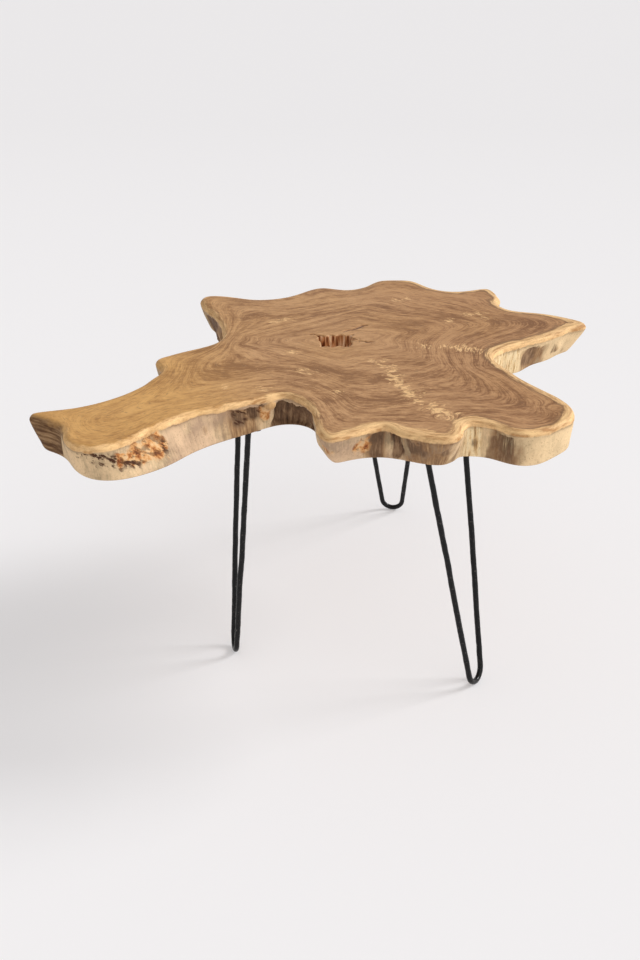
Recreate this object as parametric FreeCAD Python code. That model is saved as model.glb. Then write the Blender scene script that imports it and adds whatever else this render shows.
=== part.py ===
"""Side table: a live-edge slice of a tree root on three bent-bar hairpin legs. Millimetres, +Z up."""
import FreeCAD, Part
import math
import os

from FreeCAD import Vector

# Slice of wood: X runs along its length, Y from the front to the back
table_height = 450.0
slab_thickness = 50.0
slice_length = 816.0
slice_depth = 710.0
edge_round = 9.0

# Hollow where the heart of the trunk has fallen out
heart_length = 50.0
heart_width = 42.0
heart_depth = 16.0
heart_corner = 6.0
heart_place = (1.5, 11.0)

# Round bar of the legs
bar_diameter = 8.0
bend_radius = 19.0

# Flat plate that each leg is welded to
plate_thickness = 4.0
plate_width = 34.0
plate_corner = 6.0
plate_end_margin = 14.0

# Weld bead around each end of the bar
weld_leg = 4.0

# Pan-head wood screws
screw_diameter = 4.0
screw_length = 32.0
screw_tip_length = 6.0
screw_head_diameter = 9.0
screw_head_height = 3.0
screw_head_crown = 1.2
recess_width = 1.2
recess_length = 5.0
recess_depth = 1.6
screw_spacing_along = 56.0
screw_spacing_across = 16.0

# Clearances
plate_hole_clearance = 0.6
pilot_clearance = 0.05
pilot_tip_clearance = 1.0

# Each leg: middle of its plate in per cent of half the slice's length and depth, the turn of the plate
# about the vertical in degrees, the spread of the bar's ends, and how far the foot stands away
legs = {
    "front_left": {"head": (-31.5, -32.0), "turn": -80.0, "spread": 118.0, "stance": (-22.0, -24.0)},
    "front_right": {"head": (39.0, -54.0), "turn": 58.0, "spread": 118.0, "stance": (60.0, -36.0)},
    "rear": {"head": (24.5, 72.0), "turn": 170.0, "spread": 132.0, "stance": (20.0, 90.0)},
}

# Edge of the slice, anticlockwise from above: place in per cent of half the length and depth, and how far
# the underside stands out beyond the rim there in millimetres
left_limb_front = [
    (-100.0, -70.0, -8.0), (-94.5, -74.0, -8.0), (-88.5, -81.0, -6.0), (-86.5, -89.0, -9.0),
    (-83.0, -96.5, -10.0), (-74.0, -100.0, -3.0), (-67.0, -96.0, 8.0), (-60.0, -85.0, 17.0),
    (-49.0, -70.5, 18.0), (-34.5, -60.5, 6.0), (-23.5, -52.5, 2.0), (-16.0, -47.5, -1.0),
]
front_bay_and_lobes = [
    (-9.5, -52.0, -4.0), (-6.5, -66.0, -9.0), (-5.0, -82.5, -15.0), (-1.0, -91.0, -20.0),
    (5.0, -88.5, -20.0), (12.0, -83.5, -17.0), (17.0, -81.0, -15.0), (20.5, -85.5, -16.0),
    (27.0, -90.0, -18.0), (37.5, -92.5, -18.0), (41.5, -87.5, -14.0), (45.0, -77.5, -5.0),
    (52.0, -79.5, -3.0), (59.0, -86.0, -4.0),
]
right_front_lobe = [
    (68.0, -85.0, -3.0), (76.5, -77.0, -5.0), (80.5, -65.5, -4.0), (78.5, -54.0, -4.0),
    (69.5, -36.0, -6.0), (63.5, -21.0, -6.0),
]
right_rear_lobe = [
    (60.5, -5.0, -8.0), (66.5, 4.0, -14.0), (78.5, 13.0, -18.0), (86.5, 20.5, -19.0), (94.5, 28.5, -20.0),
    (100.0, 34.0, -22.0), (97.0, 40.5, -14.0), (83.5, 50.0, -10.0), (72.0, 55.5, -8.0),
]
back_edge = [
    (69.0, 63.5, -6.0), (69.5, 79.5, -6.0), (66.5, 86.0, -6.0), (57.5, 83.0, -6.0), (48.0, 83.0, -5.0),
    (41.0, 90.5, -5.0), (35.5, 98.5, -6.0), (28.0, 100.0, -6.0), (21.0, 98.5, -6.0), (13.5, 88.0, -5.0),
    (7.5, 84.5, -5.0), (-3.0, 87.5, -6.0), (-11.0, 81.5, -6.0), (-19.5, 72.5, -5.0), (-30.0, 69.5, -5.0),
    (-41.5, 74.0, -7.0), (-51.0, 74.5, -9.0), (-52.5, 68.5, -8.0),
]
left_rear_bay = [
    (-46.5, 46.5, -5.0), (-42.0, 25.0, -5.0), (-42.5, 13.5, -5.0), (-50.0, 3.5, -5.0), (-61.0, -7.0, -6.0),
    (-62.5, -14.0, -6.0), (-61.5, -25.0, -4.0), (-67.5, -41.5, -4.0), (-76.5, -54.0, -5.0),
    (-88.0, -62.5, -6.0), (-97.0, -66.0, -7.0),
]
edge_stations = (
    left_limb_front + front_bay_and_lobes + right_front_lobe + right_rear_lobe + back_edge + left_rear_bay
)
stations_per_face = 5

# Levels and sizes that follow from the values above
underside = table_height - slab_thickness
plate_underside = underside - plate_thickness
bar_radius = bar_diameter / 2
screw_radius = screw_diameter / 2
up = Vector(0, 0, 1)


def on_slice(place, level):
    """Point at a place given in per cent of half the slice's length and depth."""
    return Vector(place[0] / 100 * slice_length / 2, place[1] / 100 * slice_depth / 2, level)


def edge_directions(points):
    """Outward level direction at each point of an anticlockwise outline."""
    directions = []
    for i in range(len(points)):
        chord = points[(i + 1) % len(points)] - points[i - 1]
        directions.append(Vector(chord.y, -chord.x, 0).normalize())
    return directions


def edge_loop(level, offsets):
    """Closed smooth outline of the slice, moved outwards by one offset at each station."""
    rim = [on_slice(station, level) for station in edge_stations]
    outward = edge_directions(rim)
    moved = [p + d * offset for p, d, offset in zip(rim, outward, offsets)]
    steps = [0.0]
    for i in range(len(rim)):
        steps.append(steps[-1] + rim[i].distanceToPoint(rim[(i + 1) % len(rim)]))
    curve = Part.BSplineCurve()
    curve.interpolate(Points=moved, PeriodicFlag=True, Parameters=steps)
    cuts = steps[:-1:stations_per_face] + steps[-1:]
    return Part.Wire([Part.Edge(curve, start, end) for start, end in zip(cuts, cuts[1:])])


def make_slab(screw_places):
    """Slice with leaning bark sides, a rounded upper edge, the heart hollow and the pilot holes."""
    rim_level = table_height - edge_round
    count = len(edge_stations)
    below = edge_loop(underside, [station[2] for station in edge_stations])
    rim = edge_loop(rim_level, [0.0] * count)
    above = edge_loop(table_height, [-edge_round] * count)
    slab = Part.makeLoft([below, rim, above], True, True)
    corner = on_slice(heart_place, table_height - heart_depth) - Vector(heart_length / 2, heart_width / 2, 0)
    hollow = Part.makeBox(heart_length, heart_width, heart_depth, corner)
    upright = [e for e in hollow.Edges if abs(e.tangentAt(e.FirstParameter).z) > 0.9]
    slab = slab.cut(hollow.makeFillet(heart_corner, upright))
    depth = screw_length - plate_thickness + pilot_tip_clearance
    radius = screw_radius + pilot_clearance
    for place in screw_places:
        slab = slab.cut(Part.makeCylinder(radius, depth, Vector(place.x, place.y, underside), up))
    return slab


def leg_frame(leg):
    """Middle of the plate's underside, the foot below the bend, and the level line between the bar's ends."""
    head = on_slice(leg["head"], plate_underside)
    foot = Vector(head.x + leg["stance"][0], head.y + leg["stance"][1], bar_radius)
    turn = math.radians(leg["turn"])
    along = Vector(math.cos(turn), math.sin(turn), 0)
    return head, foot, along


def bar_ends(leg):
    """Where the middle line of the bar meets the plate, and where it leaves the bend, on each side."""
    head, foot, along = leg_frame(leg)
    rise = head - foot
    rise = rise - along * rise.dot(along)
    rise.normalize()
    centre = foot + rise * bend_radius
    ends = []
    for side in (-1, 1):
        end = head + along * (side * leg["spread"] / 2)
        reach = end - centre
        across = reach.dot(along)
        height = reach.dot(rise)
        distance = math.hypot(across, height)
        angle = math.atan2(height, across) - side * math.acos(bend_radius / distance)
        tangent = centre + (along * math.cos(angle) + rise * math.sin(angle)) * bend_radius
        ends.append((end, tangent))
    return ends


def make_bar(leg):
    """Round bar bent to a narrow U, cut level where it meets the plate."""
    foot = leg_frame(leg)[1]
    (left_end, left_tangent), (right_end, right_tangent) = bar_ends(leg)
    left_over = left_end + (left_end - left_tangent).normalize() * bar_diameter
    right_over = right_end + (right_end - right_tangent).normalize() * bar_diameter
    path = Part.Wire([
        Part.LineSegment(left_over, left_tangent).toShape(),
        Part.Arc(left_tangent, foot, right_tangent).toShape(),
        Part.LineSegment(right_tangent, right_over).toShape(),
    ])
    section = Part.Wire(Part.makeCircle(bar_radius, left_over, left_tangent - left_over))
    bar = path.makePipeShell([section], True, True)
    return bar.common(below_plate())


def below_plate():
    """Block that holds everything under the level of the plates' undersides."""
    corner = Vector(-slice_length, -slice_depth, 0)
    return Part.makeBox(2 * slice_length, 2 * slice_depth, plate_underside, corner)


def screw_places(leg):
    """Middles of the four screw heads on the underside of a leg's plate."""
    head, _, along = leg_frame(leg)
    across = up.cross(along)
    places = []
    for side in (-1, 1):
        for row in (-1, 1):
            offset = along * (side * screw_spacing_along / 2) + across * (row * screw_spacing_across / 2)
            places.append(head + offset)
    return places


def make_plate(leg):
    """Flat plate with rounded corners and four clearance holes, against the underside of the slice."""
    head = leg_frame(leg)[0]
    length = leg["spread"] + 2 * plate_end_margin
    plate = Part.makeBox(length, plate_width, plate_thickness, Vector(-length / 2, -plate_width / 2, 0))
    upright = [e for e in plate.Edges if abs(e.tangentAt(e.FirstParameter).z) > 0.9]
    plate = plate.makeFillet(plate_corner, upright)
    plate.rotate(Vector(), up, leg["turn"])
    plate.translate(head)
    for place in screw_places(leg):
        plate = plate.cut(Part.makeCylinder(screw_radius + plate_hole_clearance, plate_thickness, place, up))
    return plate


def make_welds(leg, bar):
    """Fillet of weld metal around each end of the bar, in the corner under the plate."""
    beads = []
    for end, tangent in bar_ends(leg):
        down = (tangent - end).normalize()
        start = end - down * weld_leg
        large = bar_radius + 2 * weld_leg
        bead = Part.makeCone(large, bar_radius, 2 * weld_leg, start, down)
        beads.append(bead.common(below_plate()).cut(bar))
    return Part.makeCompound(beads)


def make_screw(place):
    """Pan-head wood screw driven upwards, its head's flat face on the plate."""
    head_radius = screw_head_diameter / 2
    rim_drop = screw_head_height - screw_head_crown
    bottom = Vector(0, 0, -screw_head_height)
    rim = Vector(head_radius, 0, -rim_drop)
    crown_angle = math.atan2(screw_head_crown, head_radius)
    sphere_radius = head_radius / math.sin(2 * crown_angle)
    mid = Vector(sphere_radius * math.sin(crown_angle), 0, 0)
    mid.z = bottom.z + sphere_radius * (1 - math.cos(crown_angle))
    shoulder = screw_length - screw_tip_length
    outline = Part.Wire([
        Part.Arc(bottom, mid, rim).toShape(),
        Part.LineSegment(rim, Vector(head_radius, 0, 0)).toShape(),
        Part.LineSegment(Vector(head_radius, 0, 0), Vector(screw_radius, 0, 0)).toShape(),
        Part.LineSegment(Vector(screw_radius, 0, 0), Vector(screw_radius, 0, shoulder)).toShape(),
        Part.LineSegment(Vector(screw_radius, 0, shoulder), Vector(0, 0, screw_length)).toShape(),
        Part.LineSegment(Vector(0, 0, screw_length), bottom).toShape(),
    ])
    screw = Part.Face(outline).revolve(Vector(), up, 360)
    for length, width in ((recess_length, recess_width), (recess_width, recess_length)):
        corner = bottom - Vector(length / 2, width / 2, 0)
        screw = screw.cut(Part.makeBox(length, width, recess_depth, corner))
    screw.translate(place)
    return screw


os.makedirs("parts", exist_ok=True)
all_places = [place for leg in legs.values() for place in screw_places(leg)]
nodes = {"slab_top": make_slab(all_places)}
for name, leg in legs.items():
    bar = make_bar(leg)
    nodes[name + "_leg_bar"] = bar
    nodes[name + "_mounting_plate"] = make_plate(leg)
    nodes[name + "_weld_beads"] = make_welds(leg, bar)
    nodes[name + "_wood_screws"] = Part.makeCompound([make_screw(place) for place in screw_places(leg)])
for node, shape in nodes.items():
    shape.exportStep("parts/" + node + ".step")
    box = shape.optimalBoundingBox()
    print(node, len(shape.Solids), "solids", shape.isValid(), round(shape.Volume), "mm3",
          [round(v, 2) for v in (box.XMin, box.XMax, box.YMin, box.YMax, box.ZMin, box.ZMax)])
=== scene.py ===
"""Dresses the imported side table: a live-edge teak slice on hand-bent hairpin legs."""
import functools
import itertools
import math

import bmesh
import bpy
import numpy as np
from bpy.props import FloatProperty, FloatVectorProperty, IntProperty, PointerProperty
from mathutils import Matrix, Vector
from mathutils.geometry import delaunay_2d_cdt


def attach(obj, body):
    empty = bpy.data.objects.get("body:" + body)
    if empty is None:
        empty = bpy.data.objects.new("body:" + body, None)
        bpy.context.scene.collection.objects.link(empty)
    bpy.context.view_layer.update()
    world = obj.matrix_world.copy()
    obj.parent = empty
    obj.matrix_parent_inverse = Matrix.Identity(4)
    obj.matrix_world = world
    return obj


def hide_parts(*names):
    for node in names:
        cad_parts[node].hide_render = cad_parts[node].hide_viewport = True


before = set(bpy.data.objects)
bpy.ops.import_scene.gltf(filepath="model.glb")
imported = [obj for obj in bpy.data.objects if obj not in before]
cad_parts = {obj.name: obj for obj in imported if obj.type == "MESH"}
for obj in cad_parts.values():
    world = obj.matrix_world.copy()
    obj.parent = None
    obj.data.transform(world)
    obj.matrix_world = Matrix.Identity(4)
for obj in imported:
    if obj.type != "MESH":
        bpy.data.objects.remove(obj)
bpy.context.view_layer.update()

bl_info = {
    "name": "Tree Slice Side Table",
    "version": (1, 0, 0),
    "blender": (4, 5, 0),
    "location": "View3D > Sidebar > Table",
    "description": "Builds the visible pieces of a live-edge side table around its packed solids",
    "category": "Object",
}

SLAB_BASE = min(v.co.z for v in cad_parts["slab_top"].data.vertices)
LEGS = ("front_left", "front_right", "rear")
MM = 0.001
NO_GAP = 1e-6

# Mesh of the slice: points round the rim and the hollow, then sizes in metres
RIM_POINTS = 1500
HOLLOW_POINTS = 180
UNDER_PITCH = 0.012
TOP_PITCH = 0.004
HOLLOW_PITCH = 0.0018
CRACK_PITCH = 0.0012
CRACK_HALF_WIDTH = 0.0014
LOWER_ROUND = 0.003
# Rows of points: millimetres up the side, then degrees round the upper edge
SIDE_HEIGHTS = (4.5, 7, 9.5, 12, 14.5, 17, 19.5, 22, 24.5, 27, 29, 31, 32.5, 34, *range(35, 42))
EDGE_ANGLES = (14, 28, 42, 56, 70, 81, 90)

# Level in millimetres where the lip of sapwood begins, and heights of the side's relief in metres
LIP_LEVEL = 41.5
LIP_LEDGE = 0.0009
SWELL_HEIGHT = 0.0016
FOLD_HEIGHT = 0.0018
FLUTE_HEIGHT = 0.0016

# Noise patterns of the wood: cell in metres, one or one for each axis, fixed seed, octaves
PATTERNS = {
    "mark_level": (0.012, 83, 3),
    "mark_edge": ((0.012, 0.012, 0.03), 87, 3),
    "lip_wave": (0.03, 91, 2),
    "lip_chips": (0.006, 93, 2),
    "swell": ((0.045, 0.045, 0.06), 11, 3),
    "groove": ((0.0075, 0.0075, 0.09), 23, 3),
    "pitting": ((0.011, 0.011, 0.03), 37, 3),
    "fold": ((0.006, 0.006, 0.12), 29, 2),
    "hollow_edge": (0.006, 5, 2),
    "hollow_floor": (0.008, 71, 2),
    "flute": ((0.0035, 0.0035, 0.03), 61, 2),
    "top_dips": (0.05, 51, 2),
    "ring_wander": (0.07, 101, 3),
    "golden_patch": (0.12, 107, 2),
    "pink_patch": (0.05, 113, 4),
}

# Noise drawn out along the rings: scale a ring, scale a metre along it, detail, roughness
RING_NOISES = {
    "broad": (0.34, 9, 4.0, 0.62),     # streaks 110 mm long
    "fine": (1.1, 26, 4.0, 0.7),       # streaks 38 mm long
    "hair": (3.2, 60, 3.0, 0.7),       # streaks 17 mm long
    "pore": (2.4, 85, 2.0, 0.6),       # pores 1 mm wide, drawn 12 mm long so that they show
    "fleck": (0.9, 80, 4.0, 0.65),     # pale flecks 12 mm long
    "gap": (1.3, 120, 2.0, 0.5),       # dark gaps 8 mm long between the flecks
    "ragged": (0.6, 26, 5.0, 0.68),    # the sapwood's inner border wanders in 38 mm waves
}
# Tones of the rings, the sapwood and the side: place on the ramp, how much lighter than the wood, warmth
RING_TONES = ((0.40, 0.52), (0.455, 0.78), (0.50, 1.0), (0.545, 1.2), (0.60, 1.42))
SAP_TONES = ((0.38, 0.5, 0.3), (0.46, 0.86, 0.12), (0.54, 1.05, 0.0), (0.63, 1.25, 0.0))
SIDE_TONES = ((0.40, 0.55), (0.46, 0.84), (0.52, 1.03), (0.60, 1.25))
# Ramps of the other woods
HOLLOW_RAMP = ((0.36, "6e3b1e"), (0.46, "b57a4b"), (0.55, "e6ba90"), (0.64, "f8dcb8"))
WASH_RAMP = ((0.38, "694a30"), (0.5, "977350"), (0.62, "c29c70"))
FOLD_RAMP = ((0.36, "9a754b"), (0.46, "e2bf8c"), (0.56, "f8e0b4"))
HOLLOW_GREY_AND_SHADE_RAMP = ((0.38, "432f21"), (0.5, "755840"), (0.62, "a28262"))
RUST_RAMP = ((0.42, "e2b988"), (0.5, "d8a066"), (0.58, "b3733e"), (0.66, "783f20"))
SAWN_RAMP = ((0.4, "5c3d22"), (0.5, "80603f"), (0.6, "a5835f"))
BORDER_RAMP = ((0.4, "000000"), (0.52, "ffffff"), (0.55, "ffffff"), (0.8, "000000"))

# Lamps: name, direction towards the lamp, width in degrees, strength
LAMPS = (("key", (0.79, 0.28, 0.54), 20, 1.95), ("fill", (0.72, -0.62, 0.28), 110, 1.4))

# Places on the slice in millimetres from the middle of the table
HOLLOW_CENTRE = (6, 40)
HOLLOW_EDGE = (
    (-25, 4), (-29, 10), (-24, 15), (-33, 27), (-20, 27), (-14, 23), (-7, 30), (1, 25), (8, 31),
    (17, 26), (31, 32), (25, 17), (36, 6), (24, 1), (28, -8), (24, -25), (13, -27), (6, -22), (-4, -29),
    (-13, -24), (-23, -27), (-21, -10),
)
CRACKS = (
    ((30, 42), (38, 40), (46, 40), (55, 36), (64, 36)),
    ((20, 82), (29, 90), (40, 97), (52, 112), (58, 114)),
    ((-18, 66), (-27, 70), (-33, 69)),
)
SEAMS = (
    ((184, -282), (160, -262), (141, -232), (121, -200), (107, -165), (95, -123), (86, -84), (69, -51)),
    ((256, -2), (236, -9), (216, 0), (196, 9)),
)
FLECKS = (
    (-89, 128), (-75, 142), (-62, -9), (-34, -96), (-40, -84), (109, 239), (126, 244), (242, 172),
    (253, 147), (225, 165), (192, 133), (-150, -150), (-95, -158), (8, -170), (138, 18), (147, 14),
    (171, 14), (184, 13), (196, 3), (214, -2), (226, -12), (240, -14),
)
# Hearts of the lobes, grown out of the middle one: how far the rings hardly age along each, and its line
HEART_LINES = (
    (150, ((6, 40), (-140, 25), (-200, -110), (-270, -225), (-335, -290))),
    (80, ((6, 40), (90, 20), (220, -130), (285, -210))),
    (80, ((6, 40), (150, 90), (300, 135))),
    (150, ((6, 40), (-140, 60), (-180, 225))),
    (10, ((6, 40), (20, -120), (40, -235))),
    (10, ((6, 40), (60, 200), (120, 300))),
)
# Where the pale band along the edge swells or thins: place, reach, how much
SAP_SWELLS = (
    (112, -300, 48, 15), (20, -298, 40, 6), (55, -285, 20, 8), (255, -300, 60, -5), (262, 4, 30, 4),
    (395, 130, 45, 8), (330, -190, 50, 4), (186, -270, 26, 12),
)
# Where the lip of the golden limb is pale: place, reach
PALE_LIPS = ((-350, -340, 26), (-305, -356, 40), (-255, -320, 40), (-205, -268, 40), (-130, -208, 60))
# Small knots that the rings flow round: place, reach, rings
EYES = (
    (150, -262, 16, -9), (318, -150, 20, 7), (300, -225, 12, 5), (226, -70, 24, 4), (-150, 40, 26, -5),
)
# Broad bands of darker or lighter wood: middle, half length and width, turn in degrees, how much darker
TONE_BANDS = (
    (-60, -80, 95, 16, -6, 1), (55, -112, 75, 20, -24, 1), (-30, 168, 90, 12, 8, 0.8),
    (120, -60, 60, 20, -35, 0.8), (30, -196, 60, 12, 4, 0.9), (300, 130, 90, 20, -18, 1),
    (240, -190, 80, 36, -40, 0.15), (130, 120, 60, 14, 20, 0.6), (-190, 0, 60, 10, 24, 0.8),
    (-176, -100, 90, 30, 35, 0.7), (110, 262, 120, 45, 5, -0.9), (-300, -250, 90, 45, 45, -0.4),
    (60, 30, 70, 30, 0, -0.5), (11, -158, 45, 14, -10, 0.6), (208, -10, 45, 13, -10, 0.8),
)

# Where the natural side leans: place on the rim, reach, how far the top and the underside stand out
LEANS = (
    (-50, -188, 34, 12, -7), (-290, -352, 60, 0, 5), (-225, -295, 45, 0, 8), (-395, -255, 30, 2, 6),
    (252, -304, 42, 0, 10), (325, -215, 45, 2, 4), (325, -255, 26, 2, 4), (295, 30, 30, 0, 13),
    (345, 80, 30, 0, 6), (-20, -240, 25, 0, 4), (-257, -42, 17, 9, 4), (-268, -112, 20, 6, 4),
    (-213, 245, 14, 5, 0), (-197, 212, 22, 0, -6), (282, 250, 16, 5, 4), (405, 130, 22, 2, 3),
    (172, -282, 14, 0, -5),
)
# Hollows under the lip of the natural side: place on the rim, reach, lower and upper level, depth
HOLLOWS = (
    (-56, -182, 26, -20, 38, 12), (-33, -204, 22, -20, 38, 10), (-108, -192, 11, 20, 38, 6),
    (-130, -207, 12, 12, 34, 2), (60, -289, 10, -20, 40, 2), (83, -297, 10, -20, 42, 7),
    (104, -316, 12, 14, 38, 2), (148, -320, 8, 22, 34, 2), (209, -291, 13, -8, 34, 1),
    (228, -298, 17, -4, 40, 1), (310, 45, 13, 4, 36, 2), (352, 84, 9, 14, 30, 1),
    (-196, 190, 34, 0, 38, 4), (-170, 110, 24, 5, 40, 5), (-240, -62, 16, -20, 38, 5),
    (60, 322, 18, 4, 40, 4), (200, 292, 20, -20, 40, 5), (265, 250, 14, 6, 38, 4),
)
# Other woods of the side: place on the rim, reach, lower and upper level
SAWN = ((-398, -258, 26, -20, 60), (-380, -284, 21, -20, 60), (-364, -302, 11, -20, 46))
RUST = (
    (-226, -292, 12, 16, 42), (-241, -304, 17, 11, 42), (-258, -320, 16, 12, 40),
    (-276, -338, 11, 16, 36), (-6, -302, 10, 16, 40), (34, -291, 14, 12, 40), (-94, -182, 9, 12, 36),
    (280, 292, 12, 6, 36), (-205, 20, 24, 4, 36),
)
# Dark insect tracks, laid out in the same way
TRACKS = (
    (-326, -357, 16, 32, 40), (-304, -355, 16, 27, 40), (-288, -347, 14, 19, 34),
    (-274, -335, 14, 10, 24), (-262, -324, 13, 3, 16), (-250, -312, 12, 0, 10), (-223, -290, 7, 12, 42),
    (-128, -206, 12, 16, 40), (-108, -192, 10, 20, 42),
)
# Brown washes, then folds squeezed between two lobes
WASHED = (
    (125, -318, 42, -20, 46), (60, -290, 16, -20, 46), (225, -298, 26, -20, 44),
    (-125, -205, 32, -20, 40), (320, 50, 30, -20, 34), (-180, 150, 70, -20, 40), (120, 330, 90, -20, 40),
    (330, 200, 60, -20, 36),
)
RIDGES = (
    (188, -277, 14, -20, 46), (262, 4, 20, -20, 46), (282, 22, 14, -20, 40), (-250, 262, 16, -20, 44),
)
# Values that the mesh carries from the start: where a point lies, and shares of each wood of the side, with
# the painted shade in its hollows and under its lip
SLICE_VALUES = ("side", "under", "pit", "crack", "round_x", "round_y")
SIDE_WOODS = ("lip", "sawn", "dark", "rust", "track", "ridge", "wash", "undercut")
# Lumps that stand out of the side: place on the rim, reach, level of the middle, half height, height
KNOBS = (
    (-88, -182, 13, 36, 8, 7), (190, -276, 12, 20, 20, 3), (360, 88, 12, 20, 10, 4),
    (-204, 262, 14, 20, 14, 4),
)


def linear(hex_colour, alpha=None):
    """Linear light values of an sRGB hex colour."""
    parts = [int(hex_colour[i:i + 2], 16) / 255 for i in (0, 2, 4)]
    values = [p / 12.92 if p <= 0.04045 else ((p + 0.055) / 1.055) ** 2.4 for p in parts]
    return tuple(values if alpha is None else values + [alpha])


def length_property(name, description, default):
    """Length setting in metres."""
    return FloatProperty(name=name, description=description, default=default, unit="LENGTH")


def colour_property(name, description, hex_colour):
    """Colour setting with an sRGB hex default."""
    return FloatVectorProperty(name=name, description=description, subtype="COLOR", min=0, max=1,
                               default=linear(hex_colour))


class SliceSettings(bpy.types.PropertyGroup):
    """Sizes and colours of the teak slice."""
    ring_count: FloatProperty(name="Growth Rings", description="Rings from the heart to the bark",
                              default=58)
    sapwood: length_property("Sapwood", "Width of the pale band inside the edge", 0.009)
    relief: length_property("Bark Relief", "Depth of the grooves on the natural side", 0.0022)
    hollow_depth: length_property("Hollow Depth", "Depth of the fallen-out heart", 0.024)
    crack_depth: length_property("Crack Depth", "Depth of the drying cracks", 0.003)
    heartwood: colour_property("Heartwood", "Brown wood of the middle and the right lobes", "b2855b")
    golden: colour_property("Golden Wood", "Yellower wood of the long limb", "c99758")
    sap_colour: colour_property("Sapwood Colour", "Pale band along the edge", "ecc18a")
    bark_side: colour_property("Side Colour", "Stripped natural side", "d6b890")


class LegSettings(bpy.types.PropertyGroup):
    """Sizes and colours of the hairpin legs and their fixings."""
    bar_diameter: length_property("Bar", "Diameter of the painted bar", 0.0089)
    bend_radius: length_property("Bend", "Radius of the foot bend at the middle of the bar", 0.019)
    wobble: length_property("Wobble", "How far hand bending leaves the bar from straight", 0.0034)
    hammer: length_property("Hammer Marks", "Depth of the flats left by the hammer", 0.0013)
    plate_edge: length_property("Plate Edge", "Size of the plates' eased edges", 0.0005)
    weld_radius: length_property("Weld", "Radius of a ripple of weld metal", 0.0026)
    weld_spacing: length_property("Weld Spacing", "Distance from ripple to ripple", 0.0022)
    weld_offset: length_property("Weld Offset", "How far out and down the ripples lie", 0.0012)
    seed: IntProperty(name="Seed", description="Fixed seed of the wobble and the weld ripples", default=7)
    paint: colour_property("Paint", "Semi-matte black paint", "0b0b0c")


class StageSettings(bpy.types.PropertyGroup):
    """Camera, floor and light."""
    camera_place: FloatVectorProperty(name="Camera", description="Where the camera stands", unit="LENGTH",
                                      subtype="TRANSLATION", default=(-0.0168, -1.9065, 1.16))
    pitch: FloatProperty(name="Pitch", description="How far the camera looks down",
                         default=math.radians(26), unit="ROTATION")
    lens: FloatProperty(name="Lens", description="Focal length in millimetres", default=50)
    frame_height: FloatProperty(name="Frame", description="Height of the frame in millimetres", default=36)
    floor_radius: length_property("Floor Radius", "Radius of the round floor", 24)
    sky: FloatProperty(name="Sky", description="Strength of the light from all round", default=0.46)
    floor: colour_property("Floor", "Pale seamless floor", "f2f0f1")


def lattice_noise(points, cell, seed):
    """Smooth value noise from -1 to 1 on a lattice, whose cell may be longer one way."""
    scaled = points / np.asarray(cell)
    base = np.floor(scaled).astype(np.int64)
    part = scaled - base
    part = part * part * (3 - 2 * part)
    total = np.zeros(len(points))
    for corner in itertools.product((0, 1), repeat=3):
        key = (base + np.array(corner)) @ np.array([73856093, 19349663, 83492791]) + seed * 2654435
        key = ((key ^ (key >> 13)) * 1274126177) & 0x7FFFFFFF
        value = ((key ^ (key >> 15)) & 0xFFFF) / 32768 - 1
        total += value * np.prod(np.where(corner, part, 1 - part), axis=1)
    return total


def pattern(points, name):
    """One of the wood's noise patterns, about -1 to 1, each octave finer and weaker."""
    cell, seed, octaves = PATTERNS[name]
    cell = np.asarray(cell, dtype=float)
    return sum(lattice_noise(points, cell / 2 ** i, seed + i) / 2 ** i for i in range(octaves))


def rise(values, low, high):
    """Smooth step from 0 at low to 1 at high."""
    share = np.clip((values - low) / (high - low), 0, 1)
    return share * share * (3 - 2 * share)


def level_points(flat, level):
    """Points in a plane, all at one level."""
    return np.column_stack([flat, np.full(len(flat), level)])


def height_up(points):
    """Millimetres above the underside."""
    return (points[:, 2] - SLAB_BASE) / MM


def gap_to(points, x, y):
    """Level distance to a place, in millimetres."""
    return np.linalg.norm(points[:, :2] / MM - (x, y), axis=1)


def nearness(points, x, y, reach):
    """Round swell that falls off from a place on the slice, all in millimetres."""
    return np.exp(-(gap_to(points, x, y) / reach) ** 2)


def rightness(points):
    """Share from 0 on the limb's side to 1 on the side of the right lobes."""
    return rise(points[:, 0] + 0.2 * points[:, 1], 0.02, 0.24)


def lengths_along(line):
    """Length of a line up to each of its points."""
    return np.r_[0, np.cumsum(np.linalg.norm(np.diff(line, axis=0), axis=1))]


def points_at(places, line, lengths):
    """Points of a line at some lengths along it."""
    return np.stack([np.interp(places, lengths, line[:, i]) for i in range(line.shape[1])], axis=1)


def merged_copy(node):
    """Bmesh copy of a solid with the shared corners of its triangles joined."""
    shape = bmesh.new()
    shape.from_mesh(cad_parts[node].data)
    bmesh.ops.remove_doubles(shape, verts=shape.verts, dist=NO_GAP)
    return shape


def outline_loops(node):
    """The solid's long sharp level loops, from the underside up, each as ordered points."""
    shape = merged_copy(node)
    sharp = math.radians(10)
    long_loop = 1.0
    links = {}
    for edge in shape.edges:
        first, second = edge.verts
        if abs(first.co.z - second.co.z) < NO_GAP and edge.calc_face_angle(0) > sharp:
            links.setdefault(first, []).append(second)
            links.setdefault(second, []).append(first)
    loops = []
    seen = set()
    for start in links:
        ring = []
        here = start
        while here is not None and here not in seen:
            seen.add(here)
            ring.append(here.co[:])
            here = next((v for v in links[here] if v not in seen), None)
        points = np.array(ring).reshape(-1, 3)
        length = np.linalg.norm(points - np.roll(points, 1, axis=0), axis=1).sum()
        if length > long_loop:
            loops.append(points)
    shape.free()
    loops.sort(key=lambda points: points[0, 2])
    if len(loops) != 3:
        raise RuntimeError("the slab needs an underside, a rim and a top loop, found %d" % len(loops))
    return loops


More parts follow.
